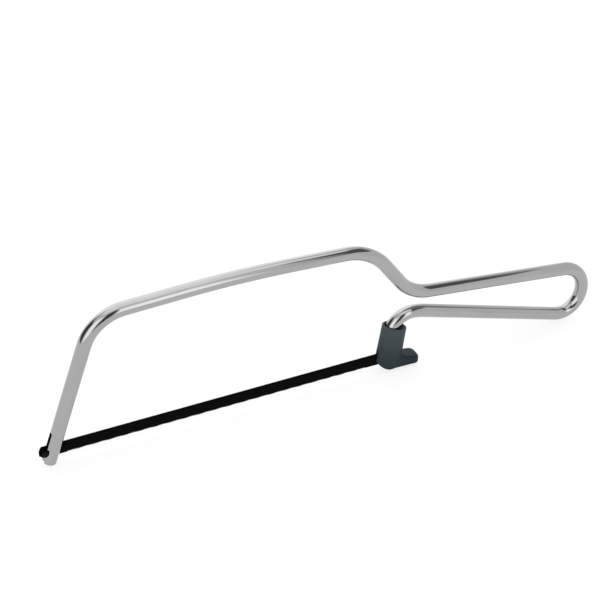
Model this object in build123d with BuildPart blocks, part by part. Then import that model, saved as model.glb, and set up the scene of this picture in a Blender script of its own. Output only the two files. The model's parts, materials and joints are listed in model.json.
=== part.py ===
from build123d import *
import os
from math import cos, radians, sin, tan

os.makedirs("parts", exist_ok=True)

# A small bow saw of the junior hacksaw pattern, standing upright on its nose.
# X runs from the nose to the handle, Y is the thickness, Z is up.
# The origin is under the middle of the saw, at its lowest point. Units: mm.

# ---------------------------------------------------------------- blade
pin_spacing = 150.0        # centre to centre of the cross pins of a standard junior blade
front_pin_x = -125.1       # places the blade in the frame
blade_line_z = 6.4         # height of both pins
blade_width = 5.5
blade_thickness = 0.6
blade_overhang = 2.1       # from each pin to the end of the blade
blade_end_round = 2.5
tooth_pitch = 0.8          # about 32 teeth to the inch
tooth_depth = 0.5
plain_end = 9.0            # untoothed length at each end, measured from the pin
pin_radius = 1.15
pin_length = 5.0
pin_chamfer = 0.25
pin_hole_radius = 1.14     # the pins are pressed into the blade

# ---------------------------------------------------------------- bent bar
bar_radius = 2.9
nose_lean = 69.65          # angle of the nose leg above the blade
nose_end_round = 1.2
nose_end_z = 0.56          # puts the lowest points of the rounded, slotted end at Z = 0
nose_slot_width = 2.2
nose_slot_length = 14.0    # from the end of the nose leg
pin_seat_radius = 1.2      # seats for the pins, in the nose leg and in the boot
boot_lean = 9.0            # lean of the rear leg, top towards the handle
leg_end_chamfer = 0.4

# Corners of the bar's centreline in side view, as on a bending drawing.
nose_corner = (-100.6, 63.0)
crown_corner = (-41.3, 65.3)
shoulder_corner = (17.0, 62.4)
grip_front_corner = (36.6, 35.8)
grip_end_top_corner = (128.2, 25.6)
grip_end_low_corner = (121.0, 1.3)
neck_start_corner = (41.9, 25.7)
neck_corner = (28.8, 27.9)
bend_radii = [19, 520, 25, 20, 12.4, 10.2, 25, 10.1]

# ---------------------------------------------------------------- boot
sleeve_top = 15.3          # from the pin line to the rim, along the sleeve
rim_tilt = 7.5             # the rim is higher at the front than square across the sleeve
sleeve_base = -7.0         # the sleeve's section is lofted from here, then cut level
rim_half_x = 5.7
rim_half_y = 4.15
base_half_x = 6.05         # the sleeve widens a little towards its foot
base_half_y = 4.3
rim_round = 0.25
boot_bottom_z = blade_line_z - 4.3
heel_round = 7.2           # big round under the front of the sleeve
leg_inset = 1.67           # the leg stands this far ahead of the sleeve's middle
leg_end = 4.0              # from the pin line to the end of the bar's rear leg
running_gap = 0.05
mouth_half_x = 4.7         # the oval mouth at the rim
mouth_half_y = 3.4
mouth_root_half_x = 3.05
mouth_root_half_y = 3.0
mouth_depth = 6.0
blade_slot_width = 0.9
blade_slot_top = blade_line_z + 5.3
pin_room = 2.8             # free length behind the pin seat, for hooking the pin in
tail_room = 3.6            # free length behind the pin seat, for the blade's tail
cavity_half_y = pin_length / 2 + 0.15
cavity_top_z = blade_line_z + 4.4

# The toe that the thumb pushes, from the sleeve's middle and the pin line.
toe_reach = 13.6
toe_root_z = 0.7           # where the toe's top meets the sleeve
toe_end_drop = 1.5         # height of the toe's rear top edge, below the pin line
toe_dip = 0.4              # the toe's underside dips this much towards its end
toe_half_y = 4.0
toe_root_round = 3.1       # the hollow between the toe's top and the sleeve
toe_corner_round = 2.6
toe_edge_round = 1.3

# ---------------------------------------------------------------- derived
rear_pin_x = front_pin_x + pin_spacing
front_pin = (front_pin_x, blade_line_z)
rear_pin = (rear_pin_x, blade_line_z)
lean = radians(boot_lean)
nose_angle = radians(nose_lean)

nose_end = (nose_corner[0] - (nose_corner[1] - nose_end_z) / tan(nose_angle), nose_end_z)

# The rear leg runs down from the neck corner, parallel to the sleeve.
leg_end_z = blade_line_z + leg_end * cos(lean) + leg_inset * sin(lean)
leg_end_point = (neck_corner[0] - (neck_corner[1] - leg_end_z) * tan(lean), leg_end_z)

# The sleeve's axis is behind the leg's axis and crosses the pin line here.
sleeve_x = (
    leg_end_point[0]
    - (leg_end_z - blade_line_z) * tan(lean)
    + leg_inset / cos(lean)
)


def sleeve_plane(height, tilt=0.0):
    """A plane across the sleeve, at a height above the pin line; tilt raises its front."""
    origin = (sleeve_x + height * sin(lean), 0, blade_line_z + height * cos(lean))
    slope = lean + radians(tilt)
    return Plane(origin=origin, x_dir=(cos(slope), 0, -sin(slope)), z_dir=(sin(slope), 0, cos(slope)))


def side_view(point):
    """A side-view point, X and Z, as a point in space."""
    return (point[0], 0, point[1])


# ================================================================ frame bar
bar_corners = [
    nose_end,
    nose_corner,
    crown_corner,
    shoulder_corner,
    grip_front_corner,
    grip_end_top_corner,
    grip_end_low_corner,
    neck_start_corner,
    neck_corner,
    leg_end_point,
]

with BuildPart() as frame_bar:
    with BuildLine() as centreline:
        FilletPolyline(*[side_view(corner) for corner in bar_corners], radius=bend_radii)
    path = centreline.wires()[0]
    with BuildSketch(Plane(origin=path @ 0, z_dir=path % 0)) as bar_section:
        Circle(bar_radius)
    sweep(path=path)
    nose_face = frame_bar.faces().filter_by(GeomType.PLANE).sort_by(Axis.X)[0]
    fillet(nose_face.edges(), nose_end_round)
    leg_face = frame_bar.faces().filter_by(GeomType.PLANE).sort_by(Axis.X)[-1]
    chamfer(leg_face.edges(), leg_end_chamfer)

    # The slot that the blade enters, cut up the middle of the nose leg.
    nose_plane = Plane(
        origin=side_view(nose_end),
        x_dir=(sin(nose_angle), 0, -cos(nose_angle)),
        z_dir=(0, 1, 0),
    )
    with BuildSketch(nose_plane):
        Rectangle(4 * bar_radius, 2 * nose_slot_length)
    extrude(amount=nose_slot_width / 2, both=True, mode=Mode.SUBTRACT)

    # The seat for the front pin, open towards the nose.
    with BuildSketch(Plane.XZ):
        with Locations(front_pin):
            Circle(pin_seat_radius)
            Rectangle(4 * pin_radius, 2 * pin_seat_radius, align=(Align.MAX, Align.CENTER))
    extrude(amount=2 * bar_radius, both=True, mode=Mode.SUBTRACT)

frame_bar.part.label = "frame_bar"
export_step(frame_bar.part, "parts/frame_bar.step")

# ================================================================ saw blade
blade_front = front_pin_x - blade_overhang
blade_rear = rear_pin_x + blade_overhang
blade_top = blade_line_z + blade_width / 2
blade_low = blade_line_z - blade_width / 2
gullet_z = blade_low + tooth_depth
first_tooth = front_pin_x + plain_end
last_tooth = rear_pin_x - plain_end
tooth_count = round((last_tooth - first_tooth) / tooth_pitch)

# Each tooth has its steep face towards the nose: the saw cuts on the push stroke.
tooth_points = []
for tooth in range(tooth_count):
    tooth_x = first_tooth + tooth * tooth_pitch
    tooth_points += [(tooth_x, gullet_z), (tooth_x, blade_low)]
tooth_points.append((first_tooth + tooth_count * tooth_pitch, gullet_z))

with BuildPart() as saw_blade:
    with BuildSketch(Plane.XZ):
        with BuildLine():
            Polyline(
                (blade_front, blade_top),
                (blade_front, blade_low),
                (first_tooth, blade_low),
                *tooth_points,
                (first_tooth + tooth_count * tooth_pitch, blade_low),
                (blade_rear, blade_low),
                (blade_rear, blade_top),
                close=True,
            )
        make_face()
        with Locations(front_pin, rear_pin):
            Circle(pin_hole_radius, mode=Mode.SUBTRACT)
    extrude(amount=blade_thickness / 2, both=True)
    upright_edges = saw_blade.edges().filter_by(Axis.Y)
    fillet(upright_edges.group_by(Axis.X)[0], blade_end_round)
    upright_edges = saw_blade.edges().filter_by(Axis.Y)
    fillet(upright_edges.group_by(Axis.X)[-1], blade_end_round)

saw_blade.part.label = "saw_blade"
export_step(saw_blade.part, "parts/saw_blade.step")


# ================================================================ blade pins
def blade_pin(centre):
    """A short round pin across the blade, with eased ends."""
    with BuildPart() as pin:
        with BuildSketch(Plane.XZ):
            with Locations(centre):
                Circle(pin_radius)
        extrude(amount=pin_length / 2, both=True)
        chamfer(pin.edges().filter_by(GeomType.CIRCLE), pin_chamfer)
    return pin


front_blade_pin = blade_pin(front_pin)
front_blade_pin.part.label = "front_blade_pin"
export_step(front_blade_pin.part, "parts/front_blade_pin.step")

rear_blade_pin = blade_pin(rear_pin)
rear_blade_pin.part.label = "rear_blade_pin"
export_step(rear_blade_pin.part, "parts/rear_blade_pin.step")

# ================================================================ tension boot
toe_end_x = sleeve_x + toe_reach
toe_root_top = blade_line_z + toe_root_z
heel_x = sleeve_x + sleeve_base * sin(lean) - base_half_x

# The toe is a sloping step behind the sleeve, rounded at its rear corners and along its top.
with BuildPart() as toe:
    with BuildSketch(Plane.XZ):
        with BuildLine():
            Polyline(
                (sleeve_x, toe_root_top),
                (toe_end_x, blade_line_z - toe_end_drop),
                (toe_end_x, boot_bottom_z - toe_dip),
                (sleeve_x, boot_bottom_z),
                close=True,
            )
        make_face()
    extrude(amount=toe_half_y, both=True)
    fillet(toe.edges().filter_by(Axis.Z).group_by(Axis.X)[-1], toe_corner_round)
    toe_top = toe.faces().sort_by(Axis.Z)[-1].edges()
    fillet(toe_top - toe_top.group_by(Axis.X)[0], toe_edge_round)

with BuildPart() as tension_boot:
    # Oval sleeve, widening a little towards its foot.
    with BuildSketch(sleeve_plane(sleeve_base)):
        Ellipse(base_half_x, base_half_y)
    with BuildSketch(sleeve_plane(sleeve_top, rim_tilt)):
        Ellipse(rim_half_x, rim_half_y)
    loft()

    # Level foot, with a big round under its front.
    with BuildSketch(Plane.XZ):
        with Locations((heel_x, boot_bottom_z)):
            heel = Rectangle(4 * base_half_x, 2 * sleeve_top, align=Align.MIN)
        fillet(heel.vertices().sort_by(Axis.Z)[:2].sort_by(Axis.X)[0], heel_round)
    extrude(amount=base_half_x, both=True, mode=Mode.INTERSECT)

    # The toe is blended into the back of the sleeve by a hollow.
    add(toe.part)
    root_edges = tension_boot.edges().filter_by(GeomType.BSPLINE).filter_by(
        lambda edge: sleeve_x + base_half_x / 2 < edge.center().X < sleeve_x + toe_reach / 2
        and abs(edge.center().Z - toe_root_top) < toe_edge_round
    )
    fillet(root_edges, toe_root_round)
    fillet(tension_boot.edges().group_by(Axis.Z)[-1], rim_round)

    # The bore slides on the rear leg; its floor meets the end of the leg.
    with BuildSketch(sleeve_plane(leg_end - running_gap)):
        with Locations((-leg_inset, 0)):
            Circle(bar_radius + running_gap)
    extrude(amount=sleeve_top, mode=Mode.SUBTRACT)

    # The mouth widens upwards and rearwards, clear of the bar's neck bend.
    with BuildSketch(sleeve_plane(sleeve_top - mouth_depth)):
        with Locations((-leg_inset, 0)):
            Ellipse(mouth_root_half_x, mouth_root_half_y)
    with BuildSketch(sleeve_plane(sleeve_top, rim_tilt)):
        Ellipse(mouth_half_x, mouth_half_y)
    loft(mode=Mode.SUBTRACT)

    # The seat for the rear pin, in the back of the front wall.
    with BuildSketch(Plane.XZ):
        with Locations(rear_pin):
            Circle(pin_seat_radius)
    extrude(amount=cavity_half_y, both=True, mode=Mode.SUBTRACT)

    # Behind the seat, room to hook the pin in from below, open at the bottom.
    with BuildSketch(Plane.XY.offset(cavity_top_z)):
        with Locations((rear_pin_x, 0)):
            Rectangle(pin_room, 2 * cavity_half_y, align=(Align.MIN, Align.CENTER))
            Rectangle(tail_room, blade_slot_width, align=(Align.MIN, Align.CENTER))
    extrude(amount=-2 * sleeve_top, mode=Mode.SUBTRACT)

    # The slot for the blade through the front wall.
    with BuildSketch(Plane.XY.offset(blade_slot_top)):
        with Locations((rear_pin_x, 0)):
            Rectangle(2 * base_half_x, blade_slot_width, align=(Align.MAX, Align.CENTER))
    extrude(amount=-2 * sleeve_top, mode=Mode.SUBTRACT)

tension_boot.part.label = "tension_boot"
export_step(tension_boot.part, "parts/tension_boot.step")
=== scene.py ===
import bmesh
import bpy
import json
import math
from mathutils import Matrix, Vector
from mathutils.kdtree import KDTree


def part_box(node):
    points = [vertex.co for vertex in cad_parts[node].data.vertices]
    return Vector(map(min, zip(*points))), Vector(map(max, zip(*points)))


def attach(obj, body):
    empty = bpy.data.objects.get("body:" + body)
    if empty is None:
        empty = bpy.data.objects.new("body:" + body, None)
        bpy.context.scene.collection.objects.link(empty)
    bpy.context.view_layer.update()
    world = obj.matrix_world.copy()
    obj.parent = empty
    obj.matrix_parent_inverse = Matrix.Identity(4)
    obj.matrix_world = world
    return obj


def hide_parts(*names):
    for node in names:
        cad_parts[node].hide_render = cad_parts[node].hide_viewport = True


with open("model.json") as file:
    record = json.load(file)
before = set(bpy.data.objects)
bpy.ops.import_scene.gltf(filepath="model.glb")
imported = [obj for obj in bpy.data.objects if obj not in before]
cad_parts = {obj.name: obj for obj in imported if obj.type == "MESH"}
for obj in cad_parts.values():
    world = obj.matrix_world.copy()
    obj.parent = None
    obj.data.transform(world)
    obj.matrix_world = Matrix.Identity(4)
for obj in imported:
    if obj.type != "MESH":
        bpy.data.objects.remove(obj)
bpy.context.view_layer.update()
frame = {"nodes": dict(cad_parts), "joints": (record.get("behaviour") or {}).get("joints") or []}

MM = 0.001

# ------------------------------------------------------------------ sizes
# The saw stands upright: X from nose to handle, Y across, Z up.
bar_radius = 2.9 * MM

# Corners of the bar's middle line in side view, X and Z, and the bends there, in mm.
bar_corners = [
    (-100.6, 63.0),
    (-41.3, 65.3),
    (17.0, 62.4),
    (36.6, 35.8),
    (128.2, 25.6),
    (121.0, 1.3),
    (41.9, 25.7),
    (28.8, 27.9),
]
bend_radii = [19, 520, 25, 20, 12.4, 10.2, 25, 10.1]

# The nose leg's lean above level, and its end, slot and pin seat in mm.
nose_lean = math.radians(69.65)
nose_end_height = 0.56
nose_end_round = 1.2
slot_width = 2.2
slot_length = 14.0
seat_radius = 1.2

# The rear leg's lean from upright, and its place from the rear pin in mm.
boot_lean = math.radians(9.0)
leg_inset = 1.67
leg_end = 4.0
leg_end_chamfer = 0.4 * MM

joints = {joint["name"]: joint for joint in frame["joints"]}
front_pin = Vector(joints["blade_swing"]["pos_m"])
blade_low, blade_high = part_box("saw_blade")
pin_low, pin_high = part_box("rear_blade_pin")
rear_pin = (pin_low + pin_high) / 2
pin_radius = (pin_high.x - pin_low.x) / 2
pin_half = (pin_high.y - pin_low.y) / 2
boot_low, boot_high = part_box("tension_boot")

# The rear leg ends above the rear pin, on the shoulder inside the boot.
leg_end_height = rear_pin.z / MM + leg_end * math.cos(boot_lean) + leg_inset * math.sin(boot_lean)


# ------------------------------------------------------------------ helpers
def add_mesh(name, points, faces, smooth=True):
    mesh = bpy.data.meshes.new(name)
    mesh.from_pydata([tuple(p) for p in points], [], faces)
    mesh.validate()
    mesh.update()
    piece = bpy.data.objects.new(name, mesh)
    bpy.context.scene.collection.objects.link(piece)
    for polygon in mesh.polygons:
        polygon.use_smooth = smooth
    return piece


def apply_modifiers(piece):
    bpy.context.view_layer.update()
    graph = bpy.context.evaluated_depsgraph_get()
    mesh = bpy.data.meshes.new_from_object(piece.evaluated_get(graph))
    piece.modifiers.clear()
    old = piece.data
    piece.data = mesh
    bpy.data.meshes.remove(old)


def subtract(piece, cutter):
    cut = piece.modifiers.new("cut", "BOOLEAN")
    cut.operation = "DIFFERENCE"
    cut.solver = "EXACT"
    cut.object = cutter
    apply_modifiers(piece)
    bpy.data.objects.remove(cutter)


def sharpen(piece, degrees):
    """Smooth shading, with real edges kept crisp."""
    for polygon in piece.data.polygons:
        polygon.use_smooth = True
    piece.data.set_sharp_from_angle(angle=math.radians(degrees))


def prism(name, outline, half):
    """A closed prism: a side-view outline of X and Z, spread to each side of the middle plane."""
    count = len(outline)
    points = [(x, -half, z) for x, z in outline] + [(x, half, z) for x, z in outline]
    faces = [tuple(range(count)), tuple(reversed(range(count, 2 * count)))]
    faces += [(i, i + count, (i + 1) % count + count, (i + 1) % count) for i in range(count)]
    piece = add_mesh(name, points, faces, smooth=False)
    fix_normals(piece)
    return piece


def fix_normals(piece):
    edit = bmesh.new()
    edit.from_mesh(piece.data)
    bmesh.ops.recalc_face_normals(edit, faces=edit.faces)
    edit.to_mesh(piece.data)
    edit.free()


def tube_faces(ring_count, around):
    """Faces that join rings of points into a closed tube, with a cap at each end."""
    faces = []
    for i in range(ring_count - 1):
        here, ahead = i * around, (i + 1) * around
        for j in range(around):
            k = (j + 1) % around
            faces.append((here + j, here + k, ahead + k, ahead + j))
    faces.append(tuple(range(around)))
    faces.append(tuple(range((ring_count - 1) * around, ring_count * around)))
    return faces


# ------------------------------------------------------------------ bar
# Steps along the bar, in mm, and around it.
straight_step = 1.5
bend_step = 0.5
leg_step = 1.0
bar_sides = 64
nose_round_steps = 8
seat_steps = 24
# How far the cutters reach past the bar, in mm.
past_end = 3
past_side = 5
seat_cut_half = 6


def bar_route():
    """Points along the middle of the bar, from the nose to the end of the rear leg."""
    first = Vector(bar_corners[0])
    last = Vector(bar_corners[-1])
    start = first - Vector((math.cos(nose_lean), math.sin(nose_lean))) * (
        (first.y - nose_end_height) / math.sin(nose_lean)
    )
    down = Vector((-math.sin(boot_lean), -math.cos(boot_lean)))
    end = last + down * ((last.y - leg_end_height) / math.cos(boot_lean))
    corners = [start] + [Vector(corner) for corner in bar_corners] + [end]
    route = []

    def straight(a, b, step):
        count = max(1, math.ceil((b - a).length / step))
        for i in range(count):
            route.append(a.lerp(b, i / count))

    here = start
    for before, corner, after, radius in zip(corners, corners[1:], corners[2:], bend_radii):
        arriving = (corner - before).normalized()
        leaving = (after - corner).normalized()
        turn = math.atan2(
            arriving.x * leaving.y - arriving.y * leaving.x, arriving.dot(leaving)
        )
        reach = radius * math.tan(abs(turn) / 2)
        bend_start = corner - arriving * reach
        straight(here, bend_start, straight_step)
        side = Vector((-arriving.y, arriving.x)) * math.copysign(1, turn)
        centre = bend_start + side * radius
        count = max(3, math.ceil(abs(turn) * radius / bend_step))
        spoke = bend_start - centre
        for i in range(count):
            angle = turn * i / count
            turned = Vector((
                spoke.x * math.cos(angle) - spoke.y * math.sin(angle),
                spoke.x * math.sin(angle) + spoke.y * math.cos(angle),
            ))
            route.append(centre + turned)
        here = corner + leaving * reach
    straight(here, end, leg_step)
    route.append(end)
    return [Vector((point.x, 0, point.y)) * MM for point in route]


def make_bar(route):
    """A round bar swept along the route, rounded at the nose and chamfered at the boot."""
    rings = []
    count = len(route)
    for i, point in enumerate(route):
        ahead = route[min(i + 1, count - 1)] - route[max(i - 1, 0)]
        rings.append((point, ahead.normalized(), bar_radius))
    first_point, first_ahead, _ = rings[0]
    rounded = []
    round_radius = nose_end_round * MM
    for step in range(nose_round_steps + 1):
        angle = math.pi / 2 * step / nose_round_steps
        back = round_radius * (1 - math.sin(angle))
        radius = bar_radius - round_radius * (1 - math.cos(angle))
        rounded.append((first_point + first_ahead * back, first_ahead, radius))
    rings = rounded[::-1] + rings[1:]
    last_point, last_ahead, _ = rings[-1]
    rings[-1] = (last_point - last_ahead * leg_end_chamfer, last_ahead, bar_radius)
    rings.append((last_point, last_ahead, bar_radius - leg_end_chamfer))
    points = []
    for point, ahead, radius in rings:
        across = Vector((0, 1, 0))
        outward = ahead.cross(across)
        for j in range(bar_sides):
            angle = 2 * math.pi * j / bar_sides
            points.append(point + (outward * math.cos(angle) + across * math.sin(angle)) * radius)
    bar = add_mesh("bent_bar", points, tube_faces(len(rings), bar_sides))
    fix_normals(bar)
    return bar


def cut_nose(bar, route):
    """The slot for the blade and the seat for the front pin, in the nose leg."""
    end = route[0] / MM
    up = Vector((math.cos(nose_lean), math.sin(nose_lean)))
    side = Vector((up.y, -up.x))
    foot = Vector((end.x, end.z))
    slot = [
        foot - up * past_end - side * past_side,
        foot - up * past_end + side * past_side,
        foot + up * slot_length + side * past_side,
        foot + up * slot_length - side * past_side,
    ]
    subtract(bar, prism("slot", [p * MM for p in slot], slot_width / 2 * MM))
    seat = []
    centre = Vector((front_pin.x, front_pin.z)) / MM
    for i in range(seat_steps + 1):
        angle = -math.pi / 2 + math.pi * i / seat_steps
        seat.append(centre + Vector((math.cos(angle), math.sin(angle))) * seat_radius)
    seat.append(centre + Vector((-past_side, seat_radius)))
    seat.append(centre + Vector((-past_side, -seat_radius)))
    subtract(bar, prism("seat", [p * MM for p in seat], seat_cut_half * MM))


def mark_along(bar, route):
    """Stores on each point its distance along the bar and its place around it."""
    tree = KDTree(len(route))
    for i, point in enumerate(route):
        tree.insert(point, i)
    tree.balance()
    travelled = [0.0]
    for a, b in zip(route, route[1:]):
        travelled.append(travelled[-1] + (b - a).length)
    values = []
    for vertex in bar.data.vertices:
        middle, i, _ = tree.find(vertex.co)
        ahead = (route[min(i + 1, len(route) - 1)] - route[max(i - 1, 0)]).normalized()
        offset = vertex.co - middle
        outward = ahead.cross(Vector((0, 1, 0)))
        values += [travelled[i] + offset.dot(ahead), offset.dot(outward), offset.y]
    layer = bar.data.attributes.new("bar_place", "FLOAT_VECTOR", "POINT")
    layer.data.foreach_set("vector", values)


# ------------------------------------------------------------------ blade
# The wavy set bends the teeth to each side in turn, below the set height.
blade_thickness = 0.6 * MM
blade_corner = 2.5 * MM
tooth_pitch = 0.8 * MM
tooth_depth = 0.5 * MM
tooth_rake = 0.07 * MM
plain_end = 9.0 * MM
set_height = 1.3 * MM
set_throw = 0.16 * MM
teeth_per_wave = 8
set_curve = 1.5
fade_teeth = 6             # the set grows over these teeth from each end
edge_ease = 0.07 * MM
blade_corner_steps = 10
# Heights of the rows of points, as shares of the set part and of the flat part above it.
set_rows = (0.2, 0.45, 0.7, 1.0)
flat_rows = (0.35, 0.7)


def blade_columns():
    """The blade's outline as upright columns: X, lowest Z, highest Z, and how far its teeth are set."""
    top, low = blade_high.z, blade_low.z
    back_low = low + tooth_depth
    middle = (top + low) / 2
    half = (top - low) / 2
    columns = []
    for i in range(blade_corner_steps + 1):
        angle = math.pi / 2 * i / blade_corner_steps
        x = blade_low.x + blade_corner * (1 - math.cos(angle))
        reach = half - blade_corner + blade_corner * math.sin(angle)
        columns.append((x, middle - reach, middle + reach, 0.0))
    rear_end = [
        (blade_low.x + blade_high.x - x, a, b, 0.0) for x, a, b, _ in reversed(columns)
    ]
    first = front_pin.x + plain_end
    last = rear_pin.x - plain_end
    count = round((last - first) / tooth_pitch)
    x = columns[-1][0]
    while x < first - tooth_pitch:
        x += tooth_pitch
        columns.append((x, low, top, 0.0))
    columns.append((first - tooth_rake, low, top, 0.0))
    for tooth in range(count):
        x = first + tooth * tooth_pitch
        fade = min(1, tooth / fade_teeth, (count - 1 - tooth) / fade_teeth)
        throw = set_throw * fade * math.sin(2 * math.pi * tooth / teeth_per_wave)
        columns.append((x, back_low, top, throw))
        columns.append((x + tooth_rake, low, top, throw))
    x = first + count * tooth_pitch
    columns.append((x, back_low, top, 0.0))
    columns.append((x + tooth_rake, low, top, 0.0))
    x += tooth_pitch
    while x < rear_end[0][0] - tooth_rake:
        columns.append((x, low, top, 0.0))
        x += tooth_pitch
    return columns + rear_end


def make_blade():
    """The toothed strip: both faces as a grid of columns, with eased long edges and a wavy set."""
    columns = blade_columns()
    half = blade_thickness / 2
    set_line = blade_low.z + set_height
    profile = []
    for x, low, top, throw in columns:
        heights = [low, low + edge_ease]
        for share in set_rows:
            heights.append(low + edge_ease + (set_line - low - edge_ease) * share)
        for share in flat_rows:
            heights.append(set_line + (top - edge_ease - set_line) * share)
        heights += [top - edge_ease, top]
        profile.append((x, heights, throw))
    rows = len(profile[0][1])
    points = []
    for side in (-1, 1):
        for x, heights, throw in profile:
            for i, z in enumerate(heights):
                inset = edge_ease if i in (0, rows - 1) else 0
                lean = max(0.0, min(1.0, (set_line - z) / set_height)) ** set_curve
                points.append((x, side * (half - inset) + throw * lean, z))
    count = len(profile)
    back = count * rows
    faces = []
    for c in range(count - 1):
        for r in range(rows - 1):
            a = c * rows + r
            faces.append((a, a + rows, a + rows + 1, a + 1))
            faces.append((back + a, back + a + 1, back + a + rows + 1, back + a + rows))
        bottom, top = c * rows, c * rows + rows - 1
        faces.append((bottom, back + bottom, back + bottom + rows, bottom + rows))
        faces.append((top, top + rows, back + top + rows, back + top))
    for c in (0, count - 1):
        for r in range(rows - 1):
            a = c * rows + r
            faces.append((a, a + 1, back + a + 1, back + a))
    blade = add_mesh("toothed_blade", points, faces)
    fix_normals(blade)
    return blade


# ------------------------------------------------------------------ pins
# The peened end: rings at these depths and shares of the radius, then a rounded shoulder.
pin_crown = [(0, 0.35), (0.03 * MM, 0.62)]
pin_dome_start = 0.05 * MM
pin_dome = 0.28 * MM
pin_dome_share = 0.75
pin_dome_steps = 7
pin_sides = 40


def make_pin(name, centre):
    """A short cross pin with domed, peened ends."""
    rings = [(y - pin_half, share) for y, share in pin_crown]
    for i in range(pin_dome_steps + 1):
        angle = math.pi / 2 * i / pin_dome_steps
        y = pin_dome_start - pin_half + pin_dome * (1 - math.cos(angle))
        rings.append((y, pin_dome_share + (1 - pin_dome_share) * math.sin(angle)))
    rings += [(-y, share) for y, share in reversed(rings)]
    points = []
    for y, share in rings:
        for j in range(pin_sides):
            angle = 2 * math.pi * j / pin_sides
            radius = pin_radius * share
            points.append(centre + Vector((math.cos(angle) * radius, y, math.sin(angle) * radius)))
    pin = add_mesh(name, points, tube_faces(len(rings), pin_sides))
    fix_normals(pin)
    return pin


# ------------------------------------------------------------------ boot
boot_voxel = 0.13 * MM
boot_ease_share = 0.5
boot_ease_rounds = 10


def make_boot():
    """The moulded boot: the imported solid's shape with every edge softly rounded."""
    piece = bpy.data.objects.new("moulded_boot", frame["nodes"]["tension_boot"].data.copy())
    bpy.context.scene.collection.objects.link(piece)
    piece.data.materials.clear()
    skin = piece.modifiers.new("skin", "REMESH")
    skin.mode = "VOXEL"
    skin.voxel_size = boot_voxel
    apply_modifiers(piece)
    ease = piece.modifiers.new("ease", "SMOOTH")
    ease.factor = boot_ease_share
    ease.iterations = boot_ease_rounds
    apply_modifiers(piece)
    for polygon in piece.data.polygons:
        polygon.use_smooth = True
    return piece


# ------------------------------------------------------------------ materials
wear_height = 0.32 * MM    # paint is thinned up to this height on the teeth
rubbed_length = 0.5 * MM   # the end of each pin that is rubbed
# The two ends of the boot's colour: a dark end of painted shade and a pale end of painted light. Faint
# flow marks also mix between them.
boot_shaded_colour = (0.002, 0.009, 0.014, 1)
boot_lit_colour = (0.056, 0.072, 0.079, 1)
boot_dust = (0.05, 0.064, 0.072, 1)


def new_material(name):
    material = bpy.data.materials.new(name)
    material.use_nodes = True
    return material, material.node_tree, material.node_tree.nodes["Principled BSDF"]


def add(tree, kind, settings=None, **inputs):
    """Adds a node, sets its properties, and gives each named input a value or a link."""
    node = tree.nodes.new("ShaderNode" + kind)
    for key, value in (settings or {}).items():
        setattr(node, key, value)
    for key, value in inputs.items():
        feed(tree, node, key, value)
    return node


def feed(tree, node, key, value):
    """Gives an input a value or a link: i3 is the input numbered 3, any other key is a name."""
    numbered = key[0] == "i" and key[1:].isdigit()
    socket = node.inputs[int(key[1:]) if numbered else key.replace("_", " ")]
    if isinstance(value, bpy.types.NodeSocket):
        tree.links.new(value, socket)
    else:
        socket.default_value = value


def maths(tree, operation, *values):
    """A math node, given one value or link for each of its inputs."""
    node = add(tree, "Math", {"operation": operation})
    for i, value in enumerate(values):
        feed(tree, node, f"i{i}", value)
    return node.outputs[0]


def bump(tree, height, strength, distance, normal=None):
    """A normal that is roughened by a height, under an optional normal."""
    node = add(tree, "Bump", Strength=strength, Distance=distance, Height=height)
    if normal is not None:
        feed(tree, node, "Normal", normal)
    return node.outputs[0]


def scaled(tree, vector, scale):
    return add(tree, "Mapping", Vector=vector, Scale=scale).outputs[0]


def noise(tree, vector, scale, detail=4.0, roughness=0.5):
    """Noise from 0 to 1 with features about one over the scale long."""
    return add(
        tree, "TexNoise", Vector=vector, Scale=scale, Detail=detail, Roughness=roughness
    ).outputs["Fac"]


def spread(tree, value, low, high, from_low=0.3, from_high=0.7):
    """Stretches a value from one range to another, held at both ends."""
    return add(
        tree, "MapRange", {"clamp": True},
        Value=value, From_Min=from_low, From_Max=from_high, To_Min=low, To_Max=high,
    ).outputs[0]


def eased(tree, value, from_low, from_high):
    """Goes from 0 to 1, slowly at both ends, as a value goes from one level to another."""
    return add(
        tree, "MapRange", {"interpolation_type": "SMOOTHSTEP"},
        Value=value, From_Min=from_low, From_Max=from_high, To_Min=0, To_Max=1,
    ).outputs[0]


def mix_colour(tree, share, a, b):
    return add(tree, "Mix", {"data_type": "RGBA"}, i0=share, i6=a, i7=b).outputs[2]


def grey(level, tint=(1, 1, 1)):
    return (level * tint[0], level * tint[1], level * tint[2], 1)


def bar_material():
    """Bright-plated drawn bar: a clean mirror with faint lengthwise draw lines."""
    material, tree, surface = new_material("bright_bar_finish")
    place = add(tree, "Attribute", {"attribute_name": "bar_place"}).outputs["Vector"]
    lines = noise(tree, scaled(tree, place, (22, 2600, 2600)), 1.0, 5.0, 0.62)
    broad = noise(tree, scaled(tree, place, (60, 260, 260)), 1.0, 3.0)
    marks = noise(tree, scaled(tree, place, (500, 9000, 9000)), 1.0, 2.0)
    duller, brighter = grey(0.385, (1.0, 0.993, 0.99)), grey(0.41, (1.0, 0.998, 1.0))
    base = mix_colour(tree, spread(tree, broad, 0, 1), duller, brighter)
    feed(tree, surface, "Base_Color", mix_colour(tree, spread(tree, lines, 0.16, 0), base, grey(0.30)))
    feed(tree, surface, "Metallic", 1.0)
    feed(tree, surface, "Roughness", spread(tree, lines, 0.10, 0.045))
    fine = bump(tree, marks, 0.10, 0.02 * MM)
    feed(tree, surface, "Normal", bump(tree, lines, 0.30, 0.03 * MM, fine))
    return material


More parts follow.
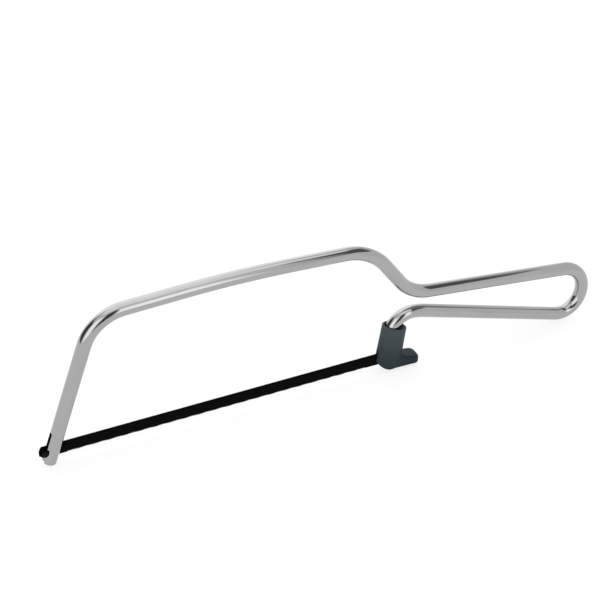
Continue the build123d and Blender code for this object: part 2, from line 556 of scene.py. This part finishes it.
def blade_material():
    """Black-painted spring steel, with a rolled grain and paint thinned on the tooth tips."""
    material, tree, surface = new_material("blade_black_finish")
    place = add(tree, "TexCoord").outputs["Object"]
    grain = noise(tree, scaled(tree, place, (300, 4000, 4000)), 1.0, 4.0)
    speckle = noise(tree, place, 5200, 2.0)
    height = add(tree, "SeparateXYZ", Vector=place).outputs["Z"]
    worn = spread(tree, height, 0, 1, blade_low.z + wear_height, blade_low.z)
    worn = maths(tree, "MULTIPLY", worn, spread(tree, speckle, 0, 0.5))
    darker, paler = grey(0.001, (1, 1, 1.4)), grey(0.0028, (1, 1, 1.3))
    black = mix_colour(tree, spread(tree, grain, 0, 1), darker, paler)
    feed(tree, surface, "Base_Color", mix_colour(tree, worn, black, grey(0.06)))
    feed(tree, surface, "Roughness", spread(tree, grain, 0.42, 0.58))
    feed(tree, surface, "Specular_IOR_Level", 0.02)
    feed(tree, surface, "Normal", bump(tree, grain, 0.25, 0.03 * MM))
    return material


def pin_material():
    """Blackened steel pin, rubbed brighter on its ends."""
    material, tree, surface = new_material("pin_steel_finish")
    place = add(tree, "TexCoord").outputs["Object"]
    speckle = noise(tree, place, 3000, 4.0)
    across = add(tree, "SeparateXYZ", Vector=place).outputs["Y"]
    end = spread(tree, maths(tree, "ABSOLUTE", across), 0, 1, pin_half - rubbed_length, pin_half)
    rubbed = maths(tree, "MULTIPLY", end, spread(tree, speckle, 0.2, 0.9))
    feed(tree, surface, "Base_Color", mix_colour(tree, rubbed, grey(0.002), grey(0.009)))
    feed(tree, surface, "Roughness", spread(tree, speckle, 0.45, 0.65))
    feed(tree, surface, "Specular_IOR_Level", 0.06)
    feed(tree, surface, "Normal", bump(tree, speckle, 0.2, 0.03 * MM))
    return material


def boot_material():
    """Slate-blue moulded plastic with a fine spark-eroded texture and faint flow marks. Painted light
    makes it paler towards its top and front, and painted shade makes it darker low down and to the
    rear.
    """
    material, tree, surface = new_material("boot_plastic_finish")
    place = add(tree, "TexCoord").outputs["Object"]
    texture = noise(tree, place, 2600, 3.0, 0.6)
    flow = noise(tree, scaled(tree, place, (160, 160, 420)), 1.0, 4.0, 0.6)
    parts = add(tree, "SeparateXYZ", Vector=place).outputs
    # Painted light and shade: the colour is paler towards the top and the front, where the light falls,
    # and darker low down and to the rear. The flow noise adds faint flow marks on top.
    painted_top_light = eased(tree, parts["Z"], boot_low.z, boot_high.z)
    painted_front_light = eased(tree, parts["X"], boot_high.x, boot_low.x)
    paler = maths(tree, "MULTIPLY", painted_top_light, 0.65)
    paler = maths(tree, "MULTIPLY_ADD", painted_front_light, 0.15, paler)
    paler = maths(tree, "MULTIPLY_ADD", flow, 0.20, paler)
    base = mix_colour(tree, paler, boot_shaded_colour, boot_lit_colour)
    feed(tree, surface, "Base_Color", mix_colour(tree, spread(tree, texture, 0.15, 0), base, boot_dust))
    feed(tree, surface, "Roughness", spread(tree, texture, 0.62, 0.48))
    feed(tree, surface, "Specular_IOR_Level", 0.14)
    feed(tree, surface, "Normal", bump(tree, texture, 0.35, 0.04 * MM))
    return material


def floor_material():
    """White sweep, lit from within so that it stays clean under the saw."""
    material, tree, surface = new_material("pale_floor_finish")
    place = add(tree, "TexCoord").outputs["Object"]
    mottle = noise(tree, place, 6, 3.0)
    feed(tree, surface, "Base_Color", mix_colour(tree, mottle, grey(0.19), grey(0.21)))
    feed(tree, surface, "Roughness", 0.9)
    feed(tree, surface, "Specular_IOR_Level", 0.0)
    feed(tree, surface, "Emission_Color", grey(1.0))
    feed(tree, surface, "Emission_Strength", 0.80)
    return material


def flag_material():
    """A dark studio flag that fades out towards its edges."""
    material, tree, surface = new_material("dark_flag_finish")
    place = add(tree, "Attribute", {"attribute_name": "flag_place"}).outputs["Vector"]
    parts = add(tree, "SeparateXYZ", Vector=place).outputs
    share = 1.0
    for axis, fade_start in (("X", 0.5), ("Y", 0.72)):
        reach = maths(tree, "ABSOLUTE", parts[axis])
        share = maths(tree, "MULTIPLY", eased(tree, reach, 1.0, fade_start), share)
    feed(tree, surface, "Base_Color", grey(0.0))
    feed(tree, surface, "Specular_IOR_Level", 0.0)
    feed(tree, surface, "Emission_Color", grey(1.0))
    feed(tree, surface, "Emission_Strength", flag_brightness)
    feed(tree, surface, "Alpha", share)
    return material


# ------------------------------------------------------------------ pieces
def place_piece(piece, body, slot, material, *nodes):
    piece.data.materials.clear()
    piece.data.materials.append(material)
    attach(piece, body)
    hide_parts(*nodes)


route = bar_route()
bar = make_bar(route)
cut_nose(bar, route)
sharpen(bar, 35)
mark_along(bar, route)
place_piece(bar, "frame", "bright_bar", bar_material(), "frame_bar")

blade = make_blade()
sharpen(blade, 50)
place_piece(blade, "blade", "blade_black", blade_material(), "saw_blade")

pin_finish = pin_material()
for name, centre, node in (
    ("peened_front_pin", front_pin, "front_blade_pin"),
    ("peened_rear_pin", rear_pin, "rear_blade_pin"),
):
    pin = make_pin(name, centre)
    sharpen(pin, 60)
    place_piece(pin, "blade", "pin_steel", pin_finish, node)

boot = make_boot()
place_piece(boot, "boot", "boot_plastic", boot_material(), "tension_boot")


# ------------------------------------------------------------------ studio
def make_floor():
    half = floor_half
    corners = [(-half, -half, 0), (half, -half, 0), (half, half, 0), (-half, half, 0)]
    piece = add_mesh("studio_floor", corners, [(0, 1, 2, 3)])
    piece.data.materials.append(floor_material())


def make_flag():
    """A dark, soft-edged flag beyond the handle, seen only as a thin dark line in the bar."""
    low_end, low_side, high_side, high_end = [Vector(corner) for corner in flag_corners]
    points, places = [], []
    for i in range(flag_steps + 1):
        for j in range(flag_steps + 1):
            along, across = i / flag_steps, j / flag_steps
            start = low_end.lerp(low_side, across)
            end = high_end.lerp(high_side, across)
            spot = start.lerp(end, along)
            points.append((flag_distance, spot.x, spot.y))
            places += [2 * along - 1, 2 * across - 1, 0]
    row = flag_steps + 1
    faces = [
        (i * row + j, (i + 1) * row + j, (i + 1) * row + j + 1, i * row + j + 1)
        for i in range(flag_steps) for j in range(flag_steps)
    ]
    piece = add_mesh("studio_flag", points, faces)
    layer = piece.data.attributes.new("flag_place", "FLOAT_VECTOR", "POINT")
    layer.data.foreach_set("vector", places)
    piece.data.materials.append(flag_material())
    piece.visible_camera = False
    piece.visible_diffuse = False
    piece.visible_shadow = False


floor_half = 3.0

# The dark flag: how far beyond the middle it stands, and its corners in Y and Z.
flag_distance = 0.20
flag_corners = [(0.10, 0.13), (0.14, 0.16), (-0.17, 0.64), (-0.50, 0.23)]
flag_brightness = 0.15
flag_steps = 12

# What stands round the saw: bearing and height in degrees, half sizes, softness and brightness.
# Bearing runs from behind the saw (0) by the handle (90) to its front (180).
studio_level = 0.95
studio_cards = [
    ("overhead", 0, 78, 360, 18, 8, 1.52),
    ("back sweep", 2, 22, 34, 44, 10, 1.72),
    ("front right softbox", 168, 12, 8, 26, 5, 2.0),
    ("front right upper", 166, 52, 18, 14, 8, 1.10),
    ("front left softbox", -128, 24, 20, 22, 9, 1.95),
    ("dark room behind the camera", -169, 20, 13, 26, 8, 0.10),
    ("dark room past the nose", -66, 20, 28, 20, 8, 0.08),
]


def studio_world():
    """Soft light all round, with the bright and dark shapes that the bar mirrors."""
    world = bpy.data.worlds.new("studio")
    bpy.context.scene.world = world
    world.use_nodes = True
    tree = world.node_tree
    direction = add(tree, "TexCoord").outputs["Generated"]
    parts = add(tree, "SeparateXYZ", Vector=direction).outputs

    def inside(distance, half, soft):
        return eased(tree, maths(tree, "ABSOLUTE", distance), half + soft / 2, half - soft / 2)

    def blend(level, share, target):
        return add(tree, "Mix", {"data_type": "FLOAT"}, i0=share, i2=level, i3=target).outputs[0]

    bearing = maths(tree, "DEGREES", maths(tree, "ARCTAN2", parts["X"], parts["Y"]))
    height = maths(tree, "DEGREES", maths(tree, "ARCSINE", parts["Z"]))
    level = studio_level
    for _, at, up, half_wide, half_high, soft, bright in studio_cards:
        aside = maths(tree, "WRAP", maths(tree, "SUBTRACT", bearing, at), 180.0, -180.0)
        wide = inside(aside, half_wide, soft)
        high = inside(maths(tree, "SUBTRACT", height, up), half_high, soft)
        level = blend(level, maths(tree, "MULTIPLY", wide, high), bright)

    seen = add(tree, "LightPath").outputs["Is Camera Ray"]
    level = blend(level, seen, 1.0)
    shade = add(tree, "CombineColor", Red=level, Green=level, Blue=level).outputs[0]
    background = tree.nodes["Background"]
    tree.links.new(shade, background.inputs["Color"])
    background.inputs["Strength"].default_value = 1.0


# The camera, from the saw: bearing towards the nose from square on, height and distance.
camera_bearing = math.radians(25.22)
camera_height = math.radians(33.52)
camera_distance = 0.6
camera_aim = Vector((-0.0118, 0, 0.0430))
camera_lens = 87.18
camera_sensor = 36


def make_camera():
    """Looks down on the saw from its nose side."""
    toward = Vector((
        -math.sin(camera_bearing) * math.cos(camera_height),
        -math.cos(camera_bearing) * math.cos(camera_height),
        math.sin(camera_height),
    ))
    lens = bpy.data.cameras.new("studio_camera")
    lens.lens = camera_lens
    lens.sensor_width = camera_sensor
    camera = bpy.data.objects.new("studio_camera", lens)
    bpy.context.scene.collection.objects.link(camera)
    camera.location = camera_aim + toward * camera_distance
    camera.rotation_euler = (-toward).to_track_quat("-Z", "Y").to_euler()
    bpy.context.scene.camera = camera


make_floor()
make_flag()
studio_world()
make_camera()
bpy.context.scene.view_settings.view_transform = "Standard"
